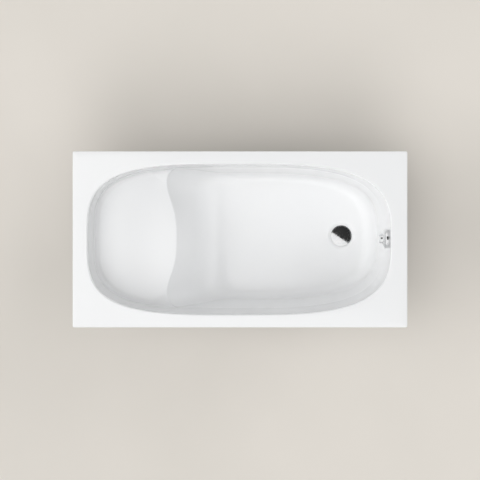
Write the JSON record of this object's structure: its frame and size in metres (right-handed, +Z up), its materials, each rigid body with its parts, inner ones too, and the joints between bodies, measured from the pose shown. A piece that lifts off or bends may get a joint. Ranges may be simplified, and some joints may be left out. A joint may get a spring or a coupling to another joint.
{
  "type": "built-in step bath",
  "caption": "Small rectangular steel bath with a raised seat at one end, a deep footwell, levelling feet, and a turn-knob pop-up waste with overflow hose and trap.",
  "frame": {"origin": "on the ground, under the middle of the rim's rectangle", "axes": "+X along the bath to the foot end with the drain, +Y across it, +Z up"},
  "size_m": [1.33, 0.7, 0.56],
  "materials": {
    "enamel": "glossy white vitreous enamel on steel",
    "bitumen": "matt bitumen sheet",
    "rubber": "soft black rubber",
    "zinc_steel": "galvanised, slightly spangled",
    "fastener_steel": "bright zinc plated",
    "black_plastic": "moulded, fine satin",
    "chrome": "polished chrome plate",
    "brass": "turned brass",
    "white_plastic": "moulded polypropylene",
    "steel_lever": "satin stainless",
    "cable_sheath": "smooth sheath"
  },
  "bodies": {
    "bath": {"tub_shell": "enamel", "seat_mat": "bitumen", "floor_mat": "bitumen", "bar_pads": "rubber", "weld_studs": "fastener_steel", "weld_stud_nuts": "fastener_steel", "floor_crossbar": "zinc_steel", "seat_crossbar": "zinc_steel", "leg_1": "zinc_steel", "leg_2": "zinc_steel", "leg_bolts": "fastener_steel", "earth_tag": "zinc_steel", "earth_bolt": "fastener_steel", "lock_nuts": "fastener_steel", "waste_flange": "chrome", "waste_seal": "rubber", "waste_gasket": "rubber", "waste_body": "black_plastic", "lever_pin": "fastener_steel", "overflow_plate": "chrome", "overflow_screws": "fastener_steel", "overflow_gasket": "rubber", "overflow_body": "black_plastic", "hose_nut_top": "black_plastic", "hose_nut_bottom": "black_plastic", "overflow_hose": "white_plastic", "bowden_cable": "cable_sheath", "cable_clips": "white_plastic", "trap_nut_in": "black_plastic", "trap_washer_in": "rubber", "trap_bend": "white_plastic", "trap_nut_out": "black_plastic", "trap_washer_out": "rubber", "outlet_bend": "white_plastic", "outlet_seal": "rubber", "outlet_pipe": "white_plastic"},
    "knob": {"overflow_knob": "chrome", "knob_spindle": "brass"},
    "slider": {"cable_slider": "white_plastic"},
    "lever": {"lift_lever": "steel_lever"},
    "plug": {"plug_cover": "chrome", "plug_seal": "rubber", "plug_stem": "brass", "plug_adjuster": "brass"},
    "foot_1": {"foot_cup_1": "black_plastic", "foot_sole_1": "rubber"},
    "stud_1": {"foot_stud_1": "fastener_steel"},
    "foot_2": {"foot_cup_2": "black_plastic", "foot_sole_2": "rubber"},
    "stud_2": {"foot_stud_2": "fastener_steel"},
    "foot_3": {"foot_cup_3": "black_plastic", "foot_sole_3": "rubber"},
    "stud_3": {"foot_stud_3": "fastener_steel"},
    "foot_4": {"foot_cup_4": "black_plastic", "foot_sole_4": "rubber"},
    "stud_4": {"foot_stud_4": "fastener_steel"}
  },
  "joints": [
    {"name": "knob_turn", "type": "hinge", "parent": "bath", "child": "knob", "pos_m": [0.59617, 0, 0.49], "axis": [-0.9986, 0, 0.0523], "range_deg": [0, 110]},
    {"name": "slider_pull", "type": "slide", "parent": "bath", "child": "slider", "axis": [-0.0523, 0, -0.9986], "range_m": [0, 0.01152]},
    {"name": "lever_tilt", "type": "hinge", "parent": "bath", "child": "lever", "pos_m": [0.45, 0, 0.1262], "axis": [0, 1, 0], "range_deg": [0, 31.42]},
    {"name": "plug_lift", "type": "slide", "parent": "bath", "child": "plug", "axis": [0, 0, 1], "range_m": [0, 0.009]},
    {"name": "foot_1_level", "type": "slide", "parent": "bath", "child": "foot_1", "axis": [0, 0, -1], "range_m": [0, 0.02]},
    {"name": "stud_1_turn", "type": "hinge", "parent": "foot_1", "child": "stud_1", "pos_m": [-0.43, -0.215, 0.02], "axis": [0, 0, 1], "range_deg": [0, 4800]},
    {"name": "foot_2_level", "type": "slide", "parent": "bath", "child": "foot_2", "axis": [0, 0, -1], "range_m": [0, 0.02]},
    {"name": "stud_2_turn", "type": "hinge", "parent": "foot_2", "child": "stud_2", "pos_m": [-0.43, 0.215, 0.02], "axis": [0, 0, 1], "range_deg": [0, 4800]},
    {"name": "foot_3_level", "type": "slide", "parent": "bath", "child": "foot_3", "axis": [0, 0, -1], "range_m": [0, 0.02]},
    {"name": "stud_3_turn", "type": "hinge", "parent": "foot_3", "child": "stud_3", "pos_m": [0.3, -0.19, 0.02], "axis": [0, 0, 1], "range_deg": [0, 4800]},
    {"name": "foot_4_level", "type": "slide", "parent": "bath", "child": "foot_4", "axis": [0, 0, -1], "range_m": [0, 0.02]},
    {"name": "stud_4_turn", "type": "hinge", "parent": "foot_4", "child": "stud_4", "pos_m": [0.3, 0.19, 0.02], "axis": [0, 0, 1], "range_deg": [0, 4800]}
  ],
  "couplings": [
    {"joint": "slider_pull", "follows": "knob_turn", "m_per_rad": 0.006},
    {"joint": "lever_tilt", "follows": "knob_turn", "ratio": 0.28561},
    {"joint": "plug_lift", "follows": "knob_turn", "m_per_rad": 0.0046878},
    {"joint": "stud_1_turn", "follows": "foot_1_level", "rad_per_m": 4188.8},
    {"joint": "stud_2_turn", "follows": "foot_2_level", "rad_per_m": 4188.8},
    {"joint": "stud_3_turn", "follows": "foot_3_level", "rad_per_m": 4188.8},
    {"joint": "stud_4_turn", "follows": "foot_4_level", "rad_per_m": 4188.8}
  ]
}
